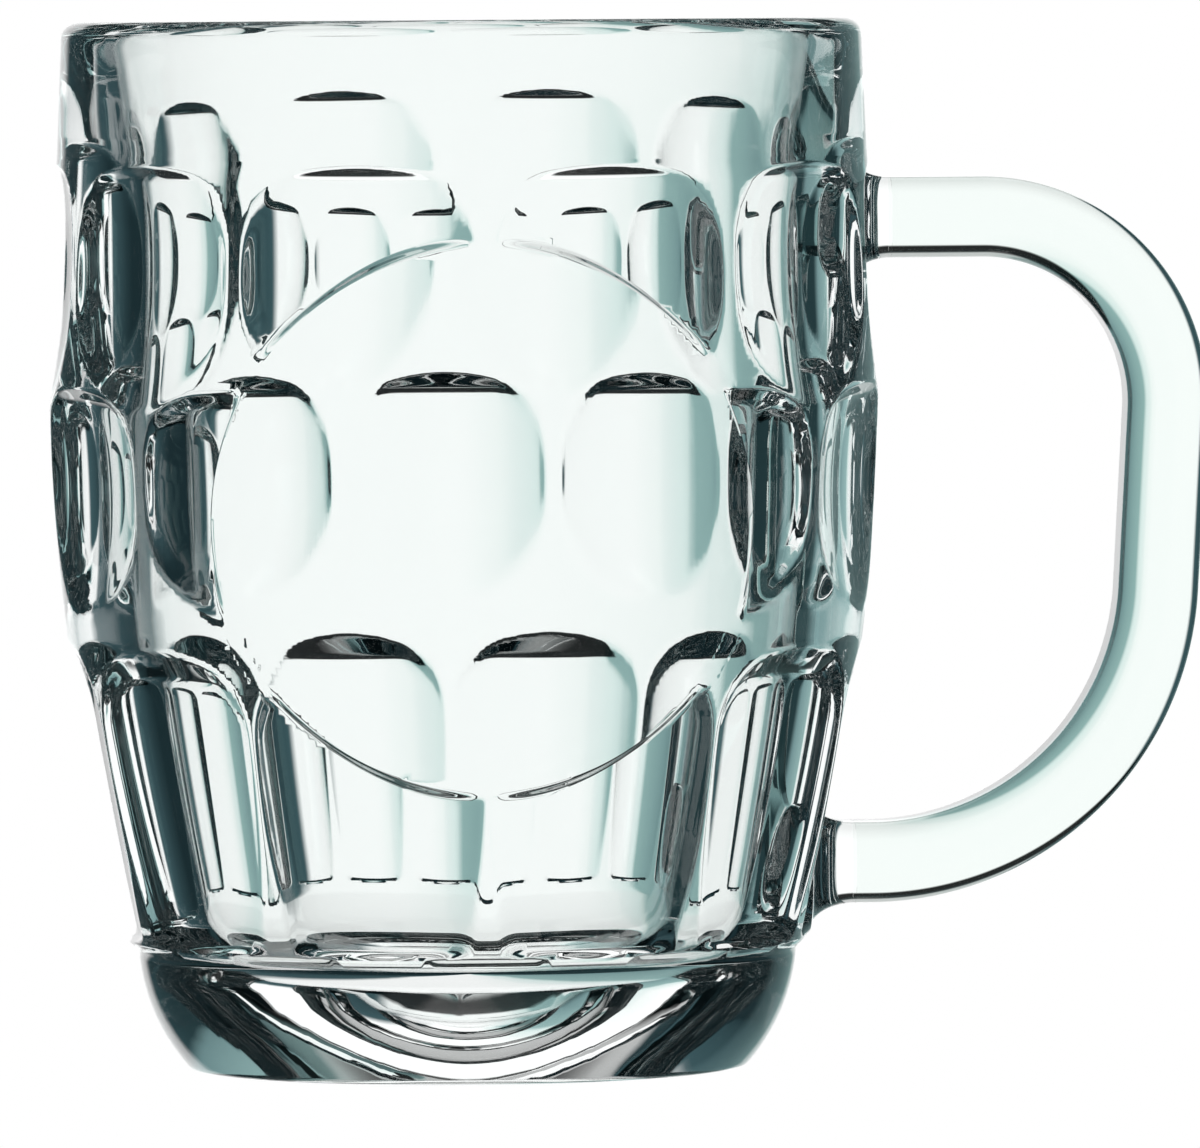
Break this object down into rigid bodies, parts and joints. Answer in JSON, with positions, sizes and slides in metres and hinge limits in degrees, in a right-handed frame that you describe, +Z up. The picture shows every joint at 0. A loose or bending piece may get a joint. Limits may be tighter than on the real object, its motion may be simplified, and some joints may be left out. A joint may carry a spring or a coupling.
{
  "type": "dimpled glass beer mug",
  "caption": "Clear pressed-glass beer mug: barrel bowl with staggered hollow dimples, a plain round shield in front, a thick base and a D-shaped glass handle fused to the wall.",
  "frame": {"origin": "on the mug's axis, in the plane of the standing ring under the base", "axes": "+Z up along the mug's axis, +X out along the handle, -Y out through the plain shield on the front"},
  "size_m": [0.1407, 0.1006, 0.127],
  "materials": {
    "bowl_glass": "clear fire-polished pressed soda-lime glass, faintly grey-green",
    "handle_glass": "clear fire-polished soda-lime glass, faintly grey-green"
  },
  "bodies": {
    "root": {"mug_body": "bowl_glass", "handle": "handle_glass"}
  },
  "joints": []
}
